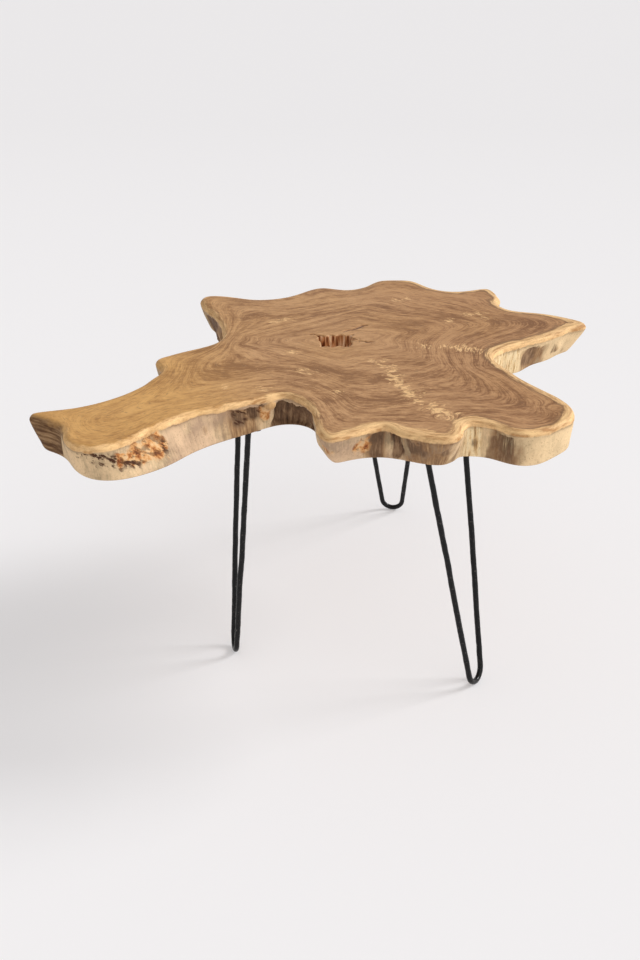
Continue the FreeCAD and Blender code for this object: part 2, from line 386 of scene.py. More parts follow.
def even_loop(points, count):
    """Evenly spaced points along a closed loop, anticlockwise from its furthest point back."""
    x, y = points[:, 0], points[:, 1]
    if np.sum(x * np.roll(y, -1) - np.roll(x, -1) * y) < 0:
        points = points[::-1]
    points = np.roll(points, -int(np.argmax(points[:, 1])), axis=0)
    closed = np.vstack([points, points[:1]])
    lengths = lengths_along(closed)
    return points_at(np.linspace(0, lengths[-1], count, endpoint=False), closed, lengths)


def blur_loop(values, reach):
    """Running mean along a closed loop."""
    return np.mean([np.roll(values, k, axis=0) for k in range(-reach, reach + 1)], axis=0)


def outward(points, reach):
    """Level outward direction along an anticlockwise loop."""
    along = np.roll(points, -reach, axis=0) - np.roll(points, reach, axis=0)
    normal = np.stack([along[:, 1], -along[:, 0]], axis=1)
    return normal / np.linalg.norm(normal, axis=1, keepdims=True)


def matched(loop, rim):
    """Points of another level's loop that lie against the rim's points, in the same order."""
    finer = 6
    blur = 8
    dense = even_loop(loop, finer * len(rim))
    nearest = np.array([np.argmin(np.sum((dense - p) ** 2, axis=1)) for p in rim], dtype=float)
    even = np.arange(len(rim)) * (len(dense) / len(rim))
    nearest = np.maximum.accumulate(np.unwrap(nearest, period=len(dense)))
    nearest = np.minimum(nearest, nearest[0] + len(dense) - 1)
    nearest = blur_loop(blur_loop(nearest - even, blur), blur) + even
    numbers = np.arange(len(dense))
    columns = [np.interp(nearest, numbers, column, period=len(dense)) for column in dense.T]
    return np.stack(columns, axis=1)


def bend_room(loop, inset):
    """Share of an inset that the loop's convex bends leave room for."""
    reach = 6
    used_radius = 0.4
    least_share = 0.02
    along = np.roll(loop, -reach, axis=0) - np.roll(loop, reach, axis=0)
    heading = along[:, 0] + 1j * along[:, 1]
    turn = np.angle(np.roll(heading, -reach) / np.roll(heading, reach))
    radius = np.abs(heading) / np.maximum(turn, 1e-6)
    share = np.clip(used_radius * radius / inset, least_share, 1)
    return blur_loop(np.min([np.roll(share, k) for k in range(-reach, reach + 1)], axis=0), reach)


def inside(points, loop):
    """Which points lie inside a closed loop."""
    result = np.zeros(len(points), dtype=bool)
    for a, b in zip(loop, np.roll(loop, -1, axis=0)):
        spans = (a[1] > points[:, 1]) != (b[1] > points[:, 1])
        crossing = (b[0] - a[0]) * (points[:, 1] - a[1]) / (b[1] - a[1] + 1e-15) + a[0]
        result ^= spans & (points[:, 0] < crossing)
    return result


def distances(points, others, softness=0.0):
    """Least distance from each point to a set of points, or a softened one that rounds its creases."""
    chunk_size = 2000
    found = []
    for chunk in np.array_split(points, max(1, len(points) // chunk_size)):
        gap = np.linalg.norm(chunk[:, None] - others[None], axis=2)
        least = gap.min(axis=1)
        if softness:
            spread = np.exp(-(gap - least[:, None]) / softness).sum(axis=1)
            # Points that a straight run of the others would count for, taken off again
            straight = 3.5 * softness / np.linalg.norm(others[1] - others[0])
            least = least - softness * np.log(spread / straight)
        found.append(least)
    return np.concatenate(found)


def route(points, step):
    """Points of a line given in millimetres, spaced evenly in metres."""
    corners = np.array(points, dtype=float) * MM
    lengths = lengths_along(corners)
    return points_at(np.linspace(0, lengths[-1], max(2, int(lengths[-1] / step))), corners, lengths)


def marks(points, spots):
    """Ragged spots on the side: 1 in the middle, 0 past the reach and outside the levels."""
    full, ended = 0.5, 1.35
    low_fade, high_fade = 5, 1.5
    value = np.zeros(len(points))
    level = height_up(points) + 4 * pattern(points, "mark_level")
    ragged = 1 + 0.45 * pattern(points, "mark_edge")
    for x, y, reach, low, high in spots:
        window = rise(level, low - low_fade, low + low_fade)
        window *= 1 - rise(level, high - high_fade, high + high_fade)
        spot = 1 - rise(gap_to(points, x, y) * ragged, reach * full, reach * ended)
        value = np.maximum(value, spot * window)
    return value


def grid_in(loop, pitch, margin, seed):
    """Jittered grid of points inside a loop, clear of its edge."""
    jitter = 0.3
    low, high = loop.min(axis=0), loop.max(axis=0)
    x, y = np.meshgrid(np.arange(low[0], high[0], pitch), np.arange(low[1], high[1], pitch))
    points = np.stack([x.ravel(), y.ravel()], axis=1)
    points += np.random.default_rng(seed).uniform(-jitter, jitter, points.shape) * pitch
    points = points[inside(points, loop)]
    return points[distances(points, loop) > margin]


def fill(loops, points):
    """Triangles inside the first loop and outside the others; the loops' points come first."""
    corners = np.vstack(loops + [points])
    edges = []
    start = 0
    for loop in loops:
        count = len(loop)
        edges += [(start + i, start + (i + 1) % count) for i in range(count)]
        start += count
    result = delaunay_2d_cdt([Vector(p) for p in corners], edges, [], 0, 1e-9)
    source = [origin[0] for origin in result[3]]
    triangles = np.array([[source[i] for i in face] for face in result[2]])
    middles = corners[triangles].mean(axis=1)
    # Three points of a straight edge can make a sliver outside it
    sliver = 4e-9
    first, second, third = (corners[triangles[:, i]] for i in range(3))
    ahead, aside = second - first, third - first
    kept = np.abs(ahead[:, 0] * aside[:, 1] - ahead[:, 1] * aside[:, 0]) > sliver
    kept &= inside(middles, loops[0])
    for hole in loops[1:]:
        kept &= ~inside(middles, hole)
    return corners, triangles[kept].tolist()


def quads(first, second, count):
    """Faces of a closed strip between two rows of the same length."""
    pairs = [(i, (i + 1) % count) for i in range(count)]
    return [(first + here, first + there, second + there, second + here) for here, there in pairs]


def knob_relief(points):
    """Height of the lumps that stand out of the side."""
    level = height_up(points)
    value = np.zeros(len(points))
    for x, y, reach, middle, half, height in KNOBS:
        value += height * MM * nearness(points, x, y, reach) * np.exp(-((level - middle) / half) ** 2)
    return value


def side_wood(points):
    """Shares of each kind of wood on the natural side, the painted shade in its hollows and under its lip,
    and the depth of its hollows in millimetres.
    """
    fade = 1.2
    shade_under_lip_reach = 2.5
    level = height_up(points)
    flat = points * (1, 1, 0)
    lip_level = LIP_LEVEL + 1.8 * pattern(flat, "lip_wave") + 0.8 * pattern(flat, "lip_chips")
    sawn = marks(points, SAWN)
    lip = rise(level, lip_level - fade, lip_level + fade) * (1 - sawn)
    lip = np.maximum(lip, rise(knob_relief(points), 0.003, 0.005))
    depth = np.zeros(len(points))
    dark = np.zeros(len(points))
    # The hollows turn grey-brown, more the deeper they are: weathered wood, and painted shade in the recess
    for *spot, deep in HOLLOWS:
        here = marks(points, [spot])
        depth = np.maximum(depth, here * deep)
        dark = np.maximum(dark, here * min(1, 0.4 + deep * 0.12))
    # Painted shade under the lip, fading out over about 2.5 mm below it
    undercut = (1 - lip) * np.exp(-np.maximum(lip_level - level, 0) / shade_under_lip_reach) * (1 - sawn)
    wood = {"lip": lip, "sawn": sawn, "dark": dark, "undercut": undercut, "depth": depth}
    for name, spots in (("rust", RUST), ("track", TRACKS), ("ridge", RIDGES), ("wash", WASHED)):
        wood[name] = marks(points, spots)
    return wood


def side_relief(points, wood, depth):
    """Outward relief of the natural side: swells, the lip's ledge, hollows, folds, grooves and lumps."""
    rough = 0.4 * pattern(points, "groove") - 0.7 * np.abs(pattern(points, "pitting"))
    value = pattern(points, "swell") * SWELL_HEIGHT + depth * (0.12 + 0.08 * wood["depth"]) * rough
    value += wood["ridge"] * pattern(points, "fold") * FOLD_HEIGHT
    value -= (1 - wood["lip"]) * (LIP_LEDGE + wood["depth"] * MM)
    value *= 1 - 0.85 * wood["sawn"]
    return value + knob_relief(points)


def leans(rim):
    """How far the top and the underside stand out along the rim."""
    out = np.zeros((2, len(rim), 1))
    for x, y, reach, *millimetres in LEANS:
        out += np.array(millimetres).reshape(2, 1, 1) * MM * nearness(rim, x, y, reach)[:, None]
    return out * outward(rim, 20)


class SliceShape:
    """Collects the slice's points, faces and the values that its material reads."""

    def __init__(self):
        self.points = []
        self.faces = []
        self.values = {name: [] for name in SLICE_VALUES + SIDE_WOODS}
        self.count = 0

    def add(self, points, **values):
        """Adds points with their values, none where not given, and returns the number of the first."""
        first = self.count
        self.points.append(points)
        for name, parts in self.values.items():
            parts.append(np.broadcast_to(values.get(name, 0.0), len(points)))
        self.count += len(points)
        return first


def side_rows(floor_level, rim_level, top_level):
    """Rows of the side, upwards: level, share of the way in to the top, inset, relief and side wood."""
    rows = []
    for height, inset, relief in ((0.0, 1.0, 0.0), (0.0009, 0.5, 0.3), (0.0024, 0.2, 0.6)):
        rows.append((floor_level + height, 0.0, LOWER_ROUND * inset, relief, 1.0))
    rows += [(floor_level + height * MM, 0.0, 0.0, 1.0, 1.0) for height in SIDE_HEIGHTS]
    for angle in np.radians(EDGE_ANGLES):
        level = rim_level + (top_level - rim_level) * math.sin(angle)
        flat = math.cos(angle)
        rows.append((level, 1 - flat, 0.0, flat ** 1.5, 1 - rise(angle, 0.5, 1.3)))
    return rows


def add_side(shape, loops, levels, depth):
    """Adds the natural side and the rounded edge, and returns the last row's first number and points."""
    below, rim, above = loops
    floor_level, rim_level = levels[:2]
    room = bend_room(below, LOWER_ROUND)
    # The rim rolled into a circle of the same length, so that upright fibres follow the side
    turn = np.linspace(0, 2 * math.pi, RIM_POINTS, endpoint=False)
    radius = np.linalg.norm(rim - np.roll(rim, 1, axis=0), axis=1).sum() / (2 * math.pi)
    rolled = {"round_x": radius * np.cos(turn), "round_y": radius * np.sin(turn)}
    start = None
    for level, way_in, inset, relief, side in side_rows(*levels):
        share = min(1, (level - floor_level) / (rim_level - floor_level))
        flat = rim + (below - rim) * (1 - share) ** 1.2 + (above - rim) * way_in
        row = level_points(flat, level)
        wood = side_wood(row)
        push = side_relief(row, wood, depth) * relief - inset * room
        row[:, :2] += outward(flat, 6) * push[:, None]
        previous = start
        start = shape.add(row, side=side, **rolled, **{name: wood[name] for name in SIDE_WOODS})
        if previous is not None:
            shape.faces += quads(previous, start, RIM_POINTS)
    return start, row[:, :2]


def add_underside(shape, level):
    """Adds the flat underside inside the side's lowest row."""
    ring = shape.points[0][:, :2]
    loose = grid_in(ring, UNDER_PITCH, UNDER_PITCH / 2, 3)
    triangles = fill([ring], loose)[1]
    shift = shape.add(level_points(loose, level), under=1.0) - RIM_POINTS
    shape.values["under"][0] = np.ones(RIM_POINTS)
    shape.faces += [[i if i < RIM_POINTS else shift + i for i in face[::-1]] for face in triangles]


def hollow_outline():
    """Ragged edge of the fallen-out heart."""
    edge = blur_loop(even_loop(np.array(HOLLOW_EDGE, dtype=float), HOLLOW_POINTS), 1) + HOLLOW_CENTRE
    edge = edge * MM
    return edge + outward(edge, 4) * (pattern(level_points(edge, 0), "hollow_edge") * 0.0006)[:, None]


def top_points(upper_ring, hollow, cracks):
    """Loose points of the top: a grid, a finer one round the hollow, and rows along the cracks."""
    rim_gap, hollow_gap = 0.0025, 0.0009
    crack_gap, fine_crack_gap = 0.002, 0.0012
    fine_margin, fine_gap = 0.001, 0.0016
    loose = grid_in(upper_ring, TOP_PITCH, rim_gap, 9)
    coarse = hollow[::3]
    fine = grid_in(coarse + (coarse - hollow.mean(axis=0)) * 0.9, HOLLOW_PITCH, fine_margin, 17)
    banks = [line + np.c_[np.gradient(line[:, 1]), -np.gradient(line[:, 0])] * 0.6 * side
             for line in cracks for side in (-1, 1)]
    near = np.vstack(cracks + banks)
    loose = np.vstack([loose[distances(loose, near) > crack_gap], near])
    fine = fine[distances(fine, near) > fine_crack_gap]
    loose = np.vstack([loose[distances(loose, fine) > fine_gap], fine])
    loose = loose[~inside(loose, hollow) & (distances(loose, hollow) > hollow_gap)]
    return loose[inside(loose, upper_ring)]


def add_top(shape, upper_start, upper_ring, level, crack_depth):
    """Adds the sanded top with its cracks, and returns the hollow's edge and its first number."""
    hollow = hollow_outline()
    cracks = [route(line, CRACK_PITCH) for line in CRACKS]
    corners, triangles = fill([upper_ring, hollow], top_points(upper_ring, hollow, cracks))
    cap = level_points(corners[RIM_POINTS:], level)
    depth = 1 - rise(distances(cap[:, :2], np.vstack(cracks)), 0.0, CRACK_HALF_WIDTH)
    depth[:HOLLOW_POINTS] = 0
    cap[:, 2] -= crack_depth * depth
    cap[HOLLOW_POINTS:, 2] += 0.00012 * pattern(cap[HOLLOW_POINTS:], "top_dips")
    first = shape.add(cap, crack=depth, round_x=cap[:, 0], round_y=cap[:, 1])
    shift = first - RIM_POINTS
    shape.faces += [[upper_start + i if i < RIM_POINTS else shift + i for i in face] for face in triangles]
    return hollow, first


def add_hollow(shape, hollow, first, top_level, depth):
    """Adds the fluted wall and the ragged floor of the hollow."""
    inner = -outward(hollow, 2)
    rings = []
    for share in np.linspace(0.12, 1, 9):
        wall = level_points(hollow, -share * depth)
        flute = pattern(wall, "flute") * FLUTE_HEIGHT
        wall[:, :2] += inner * (flute * min(1, share * 3) + 0.002 * share)[:, None]
        wall[:, 2] += top_level
        rings.append((wall, 0.35 + 0.65 * share))
    centre = wall.mean(axis=0)
    for scale in (0.66, 0.33):
        ring = centre + (wall - centre) * scale
        ring[:, 2] += 0.002 * pattern(ring, "hollow_floor")
        rings.append((ring, 1.0))
    start = first
    for ring, pit in rings:
        previous = start
        start = shape.add(ring, pit=pit, round_x=ring[:, 0], round_y=ring[:, 1])
        shape.faces += quads(previous, start, HOLLOW_POINTS)
    pole = shape.add(centre[None], pit=1.0, round_x=centre[0], round_y=centre[1])
    shape.faces += [(start + i, start + (i + 1) % HOLLOW_POINTS, pole) for i in range(HOLLOW_POINTS)]


def build_slice(settings):
    """The slice as one closed mesh: underside, natural side, rounded edge, top, hollow and cracks."""
    loops = outline_loops("slab_top")
    levels = [loop[0, 2] for loop in loops]
    below, rim, above = (loop[:, :2] for loop in loops)
    rim = even_loop(rim, RIM_POINTS)
    below = blur_loop(blur_loop(matched(below, rim), 15), 12)
    above = matched(above, rim)
    top_lean, under_lean = leans(rim)
    rim, below, above = rim + top_lean, below + under_lean, above + top_lean
    shape = SliceShape()
    upper_start, upper_ring = add_side(shape, (below, rim, above), levels, settings.relief)
    add_underside(shape, levels[0])
    hollow, first = add_top(shape, upper_start, upper_ring, levels[2], settings.crack_depth)
    add_hollow(shape, hollow, first, levels[2], settings.hollow_depth)
    return shape, rim


def heart_distance(flat):
    """Distance from the middle's heart, counted slowly along the lobes' own hearts."""
    slow_rate, later_rate = 0.1, 0.42
    softness = 0.012
    usual_count = 8
    spots = [route(line, 0.012) for _, line in HEART_LINES]
    starts = []
    for (slow, _), points in zip(HEART_LINES, spots):
        length = lengths_along(points)
        later = np.maximum(length - slow * MM, 0)
        starts.append(slow_rate * np.minimum(length, slow * MM) + later_rate * later)
    gap = np.linalg.norm(flat[:, None] - np.vstack(spots)[None], axis=2) + np.concatenate(starts)
    least = gap.min(axis=1)
    near = np.exp((least[:, None] - gap) / softness).sum(axis=1)
    return np.maximum(least - softness * np.log(near / usual_count), 0.0)


def tone_band(flat):
    """How much darker the broad bands make the wood."""
    band = np.zeros(len(flat))
    for x, y, length, across, turn, darker in TONE_BANDS:
        angle = math.radians(turn)
        gap = flat / MM - (x, y)
        far = gap[:, 0] * math.cos(angle) + gap[:, 1] * math.sin(angle)
        aside = gap[:, 1] * math.cos(angle) - gap[:, 0] * math.sin(angle)
        band += darker * np.exp(-(far / length) ** 2 - (aside / across) ** 2)
    return band


def top_values(flat, rim, settings):
    """Values of the top and the rounded edge: rings, millimetres from the edge and shares."""
    level = level_points(flat, 0)
    soft = np.maximum(distances(flat, rim[::2], softness=0.016), 0.0005)
    heart = heart_distance(flat)
    ring = settings.ring_count * heart / (heart + soft) + 0.8 * pattern(level, "ring_wander")
    for x, y, reach, rings in EYES:
        ring += rings * nearness(flat, x, y, reach)
    edge = distances(flat, rim) / MM
    right = rightness(flat)
    # The ragged border eats into the sapwood, so its band is drawn wider, most of all at the right
    width = settings.sapwood / MM + 11 + 6 * right
    for x, y, reach, more in SAP_SWELLS:
        width += more * nearness(flat, x, y, reach)
    gold = 1 - rise(flat[:, 0] + 0.25 * flat[:, 1], -0.32, -0.07)
    gold = np.clip(gold + 0.03 + 0.12 * pattern(level, "golden_patch"), 0, 1)
    pale = 0.9 - 0.75 * gold
    for x, y, reach in PALE_LIPS:
        near = nearness(flat, x, y, reach)
        pale += (0.95 - pale) * near
        width -= 2 * near
    # Flecks crowd within 21 mm of the seams and 13 mm of their other places
    seams = np.vstack([route(line, 0.004) for line in SEAMS])
    along_seams = 0.92 * np.exp(-(distances(flat, seams) / 0.021) ** 2)
    cluster = np.exp(-(distances(flat, np.array(FLECKS) * MM) / 0.013) ** 2)
    return {
        "ring": ring,
        "edge": edge,
        "inner": edge - width,
        "seam": np.maximum(along_seams, cluster),
        "calm": (0.75 + 0.38 * rise(ring, 6, 30)) * (1 - 0.2 * gold),
        "shift": 0.508 - 0.095 * tone_band(flat),
        "arcs": 0.006 + 0.016 * right,
        "line": 0.12 + 0.6 * right,
        "gold": gold,
        "pale": pale,
    }


def slice_values(points, rim, values, settings):
    """Values at each point that the teak material reads."""
    whole = np.flatnonzero((values["side"] < 0.999) | (values["lip"] > 0.001))
    for name, value in top_values(points[whole, :2], rim, settings).items():
        values[name] = np.zeros(len(points))
        values[name][whole] = value
    right = rightness(points)
    values["right"] = right
    # The side turns paler cream towards the right
    values["bleach"] = 0.65 * right
    values["pink"] = (0.45 - 0.45 * right) * rise(pattern(points, "pink_patch"), -0.1, 0.6)
    values["pink"] *= rise(points[:, 0], -0.29, -0.2)
    bites = (0.6 * values["rust"], 0.3 * values["dark"], values.pop("track"))
    values["bite"] = np.maximum.reduce(bites)
    values["rugged"] = 0.35 + 1.4 * np.maximum(values["dark"], values["ridge"])
    values["rough"] = 0.42 + 0.28 * np.maximum(values["side"], values["under"])
    return values


def add_node(tree, kind, *inputs, named=None, stops=(), output=None, **settings):
    """Adds a node with its settings, its inputs in order or by name, and a ramp's stops; returns an output.

    A text among the inputs or the stops is an sRGB hex colour.
    """
    node = tree.nodes.new(kind if "Node" in kind else "ShaderNode" + kind)
    for name, value in settings.items():
        setattr(node, name, value)
    given = list(zip([socket for socket in node.inputs if socket.enabled], inputs))
    given += [(node.inputs[name], value) for name, value in (named or {}).items()]
    for socket, value in given:
        if isinstance(value, bpy.types.NodeSocket):
            tree.links.new(value, socket)
        elif value is not None:
            socket.default_value = linear(value, 1) if isinstance(value, str) else value
    for number, (place, colour) in enumerate(stops):
        ramp = node.color_ramp.elements
        element = ramp[number] if number < len(ramp) else ramp.new(place)
        element.position = place
        element.color = linear(colour, 1) if isinstance(colour, str) else colour
    found = (socket for socket in node.outputs if socket.enabled and output in (None, socket.name))
    return next(found, None)


def new_material(name):
    """Empty node material, and the function that adds nodes to it."""
    material = bpy.data.materials.new(name)
    material.use_nodes = True
    material.node_tree.nodes.clear()
    return material, functools.partial(add_node, material.node_tree)


def shade(colour, factor, warmth=0.0):
    """Lighter or darker linear colour with full alpha; warmth makes the dark redder and the light paler."""
    powers = (1 - warmth, 1, 1 + warmth)
    return tuple(min(1.0, part * factor ** power) for part, power in zip(colour, powers)) + (1.0,)


def teak_top(add, value, place, upright, flake, settings):
    """Colour, grain and height of the sanded top."""
    heart, gold, sap = (tuple(c) for c in (settings.heartwood, settings.golden, settings.sap_colour))
    x, y = (add("SeparateXYZ", place, output=axis) for axis in "XY")
    flow = add("CombineXYZ", value["ring"], x, y)
    noise = {}
    for name, (across, along, detail, roughness) in RING_NOISES.items():
        drawn = add("Mapping", flow, None, None, (across, along, along))
        noise[name] = add("TexNoise", drawn, 1.0, detail, roughness)

    # Rings about 4 mm wide: streaks of three lengths along them, a mottle of 12 by 6 mm and faint arcs
    mottle = add("Mapping", place, None, None, (1 / 0.012, 1 / 0.006, 1))
    noise["mottle"] = add("TexNoise", mottle, 1.0, 3.0, 0.7)
    tone = -0.68
    for name, share in (("broad", 0.46), ("fine", 0.4), ("hair", 0.2), ("mottle", 0.3)):
        tone = add("Math", noise[name], share, tone, operation="MULTIPLY_ADD")
    tone = add("Math", tone, value["calm"], value["shift"], operation="MULTIPLY_ADD")
    turn = add("Math", noise["broad"], 9.0, operation="MULTIPLY")
    turn = add("Math", value["ring"], 2 * math.pi, turn, operation="MULTIPLY_ADD")
    arcs = add("Math", turn, operation="SINE")
    tone = add("Math", arcs, value["arcs"], tone, operation="MULTIPLY_ADD")
    brown = add("ValToRGB", tone, stops=[(at, shade(heart, k, 0.2)) for at, k in RING_TONES])
    yellow = add("ValToRGB", tone, stops=[(at, shade(gold, k ** 0.7, 0.2)) for at, k in RING_TONES])
    dusk = (0.895, 0.852, 0.825, 1)
    top = add("Mix", value["right"], brown, dusk, data_type="RGBA", blend_type="MULTIPLY")

    # Pale flecks and dark gaps crowd along the seams between lobes and lie scattered elsewhere
    fleck = add("Math", value["seam"], 0.24, noise["fleck"], operation="MULTIPLY_ADD")
    fleck = add("MapRange", fleck, 0.69, 0.79, 0.0, 0.8)
    gap = add("Math", value["seam"], 0.14, noise["gap"], operation="MULTIPLY_ADD")

    # Pale sapwood in layers 4 mm thick, with a darker line where it meets the heartwood
    inner = add("Math", noise["ragged"], 24.0, value["inner"], operation="MULTIPLY_ADD")
    border = add("ValToRGB", add("MapRange", inner, -10.0, 10.0), stops=BORDER_RAMP)
    layer = add("Mapping", add("CombineXYZ", value["edge"], x, y), None, None, (0.26, 30, 30))
    layer = add("ValToRGB", add("TexNoise", layer, 1.0, 4.0, 0.7),
                stops=[(at, shade(sap, lighter, warmth)) for at, lighter, warmth in SAP_TONES])
    layer = add("Mix", flake, layer, shade(sap, 0.5, 0.2), data_type="RGBA")

    # Light and dark strips 6 mm wide down the hollow's wall
    strip = add("ValToRGB", add("TexNoise", upright, 1 / 0.006, 2.0), stops=HOLLOW_RAMP)

    # Coats over the rings, each hiding a share of those before it: pores, flecks, sapwood, hollow, cracks
    coats = (
        (value["gold"], yellow),
        (add("MapRange", noise["pore"], 0.58, 0.68, 0.0, 0.45), shade(heart, 0.5)),
        (fleck, shade(sap, 1.14)),
        (add("MapRange", gap, 0.75, 0.85, 0.0, 0.5), shade(heart, 0.42)),
        (add("Math", border, value["line"], operation="MULTIPLY"), shade(heart, 0.45)),
        (add("MapRange", inner, 1.5, -4.0, 0.0, value["pale"], interpolation_type="SMOOTHSTEP"), layer),
        (add("MapRange", value["pit"], 0.12, 0.45), strip),
        (add("MapRange", value["crack"], 0.1, 0.6), "5e361c"),
    )
    for share, colour in coats:
        top = add("Mix", share, top, colour, data_type="RGBA")
    height = add("Mix", 0.4, noise["fine"], noise["hair"])
    height = add("Math", fleck, -0.4, height, operation="MULTIPLY_ADD")
    return top, noise["fine"], height


def teak_side(add, value, place, upright, flake, top, settings):
    """Colour and height of the natural side."""
    # Cream wood with upright fibres 3.5 mm apart, blotches of 35 mm and rusty specks of 14 mm
    fibre = add("TexNoise", upright, 1 / 0.0035, 4.0, 0.68)
    blotch = add("TexNoise", place, 1 / 0.035, 4.0, 0.6)
    speck = add("TexNoise", place, 1 / 0.014, 4.0, 0.7)
    patchy = add("Mix", 0.7, fibre, blotch)
    cloudy = add("Mix", 0.4, fibre, blotch)
    hollow_grey_and_shade_level = add("Math", fibre, 1.6, value["dark"], operation="MULTIPLY_ADD")
    stain = add("Math", speck, 1.8, value["rust"], operation="MULTIPLY_ADD")
    # Dark insect tracks 5 mm wide and three times as long, slanting down along the limb
    slanted = add("Mapping", place, None, (0.0, 0.96, -2.43), (1, 1, 3.3), vector_type="TEXTURE")
    track = add("TexNoise", slanted, 1 / 0.005, 3.0)
    track = add("Math", value["bite"], 0.13, track, operation="MULTIPLY_ADD")
    track = add("MapRange", track, 0.6, 0.68, 0.0, value["bite"])
    # Sawn end of the limb: level streaks 6 mm apart
    sawn = add("TexNoise", add("Mapping", place, None, None, (0.12, 0.12, 1)), 1 / 0.006, 4.0, 0.65)
    bark = tuple(settings.bark_side)
    side = add("ValToRGB", patchy, stops=[(at, shade(bark, lighter)) for at, lighter in SIDE_TONES])
    # Coats over the cream wood; the last two are painted shade in a line under the lip, and the lip of
    # sapwood
    coats = (
        (value["pink"], "c39e86"),
        # Paler cream towards the right
        (value["bleach"], "f6d6a6"),
        (add("MapRange", patchy, 0.32, 0.48, 0.0, value["wash"]), add("ValToRGB", cloudy, stops=WASH_RAMP)),
        (value["ridge"], add("ValToRGB", fibre, stops=FOLD_RAMP)),
        # Grey-brown weathered wood in the hollows, with painted shade that grows with the hollow's depth
        (add("MapRange", hollow_grey_and_shade_level, 1.0, 1.4), add("ValToRGB", cloudy, stops=HOLLOW_GREY_AND_SHADE_RAMP)),
        (flake, "8a6745"),
        (add("MapRange", stain, 1.15, 1.75), add("ValToRGB", speck, stops=RUST_RAMP)),
        (track, "4a2b19"),
        (add("MapRange", value["sawn"], 0.25, 0.5), add("ValToRGB", sawn, stops=SAWN_RAMP)),
        # Painted shade just under the lip, broken up by the blotches
        (add("MapRange", blotch, 0.4, 0.6, 0.0, value["undercut"]), "5d412a"),
        (value["lip"], top),
    )
    for share, colour in coats:
        side = add("Mix", share, side, colour, data_type="RGBA")
    height = add("Math", fibre, value["rugged"], operation="MULTIPLY")
    for dent, depth in ((track, -1.5), (flake, -0.7)):
        height = add("Math", dent, depth, height, operation="MULTIPLY_ADD")
    return side, height


def teak_material(settings, names):
    """Cross-cut teak, oiled on top and stripped of bark at the side: wavy rings, pale flecks, satin."""
    material, add = new_material("teak_slice")
    value = {name: add("Attribute", attribute_name=name, output="Fac") for name in names}
    place = add("TexCoord", output="Object")
    upright = add("CombineXYZ", value["round_x"], value["round_y"], add("SeparateXYZ", place, output="Z"))
    upright = add("Mapping", upright, None, None, (1, 1, 0.12))
    # Flakes of bark 3 mm across, left in the grain of the sapwood and the side
    flake = add("MapRange", add("TexNoise", place, 1 / 0.003, 4.0, 0.75), 0.55, 0.68, 0.0, 0.5)
    top, grain, top_height = teak_top(add, value, place, upright, flake, settings)
    side, side_height = teak_side(add, value, place, upright, flake, top, settings)

    # Underside: dull sawn wood with the saw's marks 12 mm apart
    saw = add("TexWave", place, 1 / 0.012 / 6.283, 2.0, 2.0, output="Fac", bands_direction="X")
    under = add("Mix", 0.55, top, "b3977a", data_type="RGBA")
    under = add("Mix", add("MapRange", saw, 0.0, 1.0, 0.0, 0.18), under, "6e5138", data_type="RGBA")

    colour = add("Mix", value["side"], top, side, data_type="RGBA")
    colour = add("Mix", value["under"], colour, under, data_type="RGBA")
    rough = add("Math", grain, 0.16, value["rough"], operation="MULTIPLY_ADD")
    bump = add("Bump", 0.5, 0.0009, None, add("Mix", value["side"], top_height, side_height))
    shader = add("BsdfPrincipled", named={
        "Base Color": colour, "Roughness": rough, "Normal": bump, "Specular IOR Level": 0.25})
    add("OutputMaterial", shader)
    return material


def paint_material(name, colour, grit, roughness):
    """Semi-matte black paint brushed over hand-worked iron: faint lumps, and painted glints laid on as grey
    chips in the paint.
    """
    material, add = new_material(name)
    place = add("TexCoord", output="Object")
    lumps = add("TexNoise", place, 1 / grit, 4.0)
    glint_chips = add("TexNoise", place, 1 / (grit * 0.6), 5.0, 0.7)
    paint = add("ValToRGB", lumps, stops=[(0.3, shade(colour, 0.55)), (0.7, shade(colour, 1.7))])
    # Painted glints: pale grey flecks laid on the paint like chips of bare iron
    worn_glints = add("MapRange", glint_chips, 0.6, 0.72, 0.0, 0.8)
    paint = add("Mix", worn_glints, paint, "77706a", data_type="RGBA")
    gloss = add("MapRange", lumps, 0.3, 0.7, roughness - 0.1, roughness + 0.12)
    bump = add("Bump", 0.6, 0.0006, None, lumps)
    shader = add("BsdfPrincipled", named={
        "Base Color": paint, "Roughness": gloss, "Normal": bump, "Specular IOR Level": 0.24})
    add("OutputMaterial", shader)
    return material


def zinc_material():
    """Zinc plated steel of the screws: pale metal with a dull cloudy plating."""
    material, add = new_material("zinc_plated_screw")
    cloud = add("TexNoise", add("TexCoord", output="Object"), 1 / 0.003, 3.0)
    tint = add("ValToRGB", cloud, stops=((0.3, "8f8a7c"), (0.7, "c2beb2")))
    gloss = add("MapRange", cloud, 0.3, 0.7, 0.28, 0.5)
    shader = add("BsdfPrincipled", named={"Base Color": tint, "Roughness": gloss, "Metallic": 1.0})
    add("OutputMaterial", shader)
    return material


def floor_material(colour):
    """Pale seamless paper floor that glows with painted light, so that it stays even: matte, almost white.
    """
    material, add = new_material("pale_seamless_floor")
    # The floor's painted glow fades from half a metre to four metres back, as painted shade
    depth = add("SeparateXYZ", add("TexCoord", output="Object"), output="Y")
    glow = add("MapRange", depth, 0.5, 4.0, 0.366, 0.3)
    shader = add("BsdfPrincipled", named={
        "Base Color": shade(colour, 0.65), "Roughness": 0.9, "Specular IOR Level": 0.05,
        "Emission Color": shade(colour, 1), "Emission Strength": glow})
    add("OutputMaterial", shader)
    return material


def place_piece(piece, node):
    """Ties a finished piece to the table in place of a solid."""
    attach(piece, "root")
    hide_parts(node)


def new_object(name, data):
    """Links a mesh, curve, lamp or camera to the scene as an object at the origin."""
    piece = bpy.data.objects.new(name, data)
    bpy.context.scene.collection.objects.link(piece)
    return piece


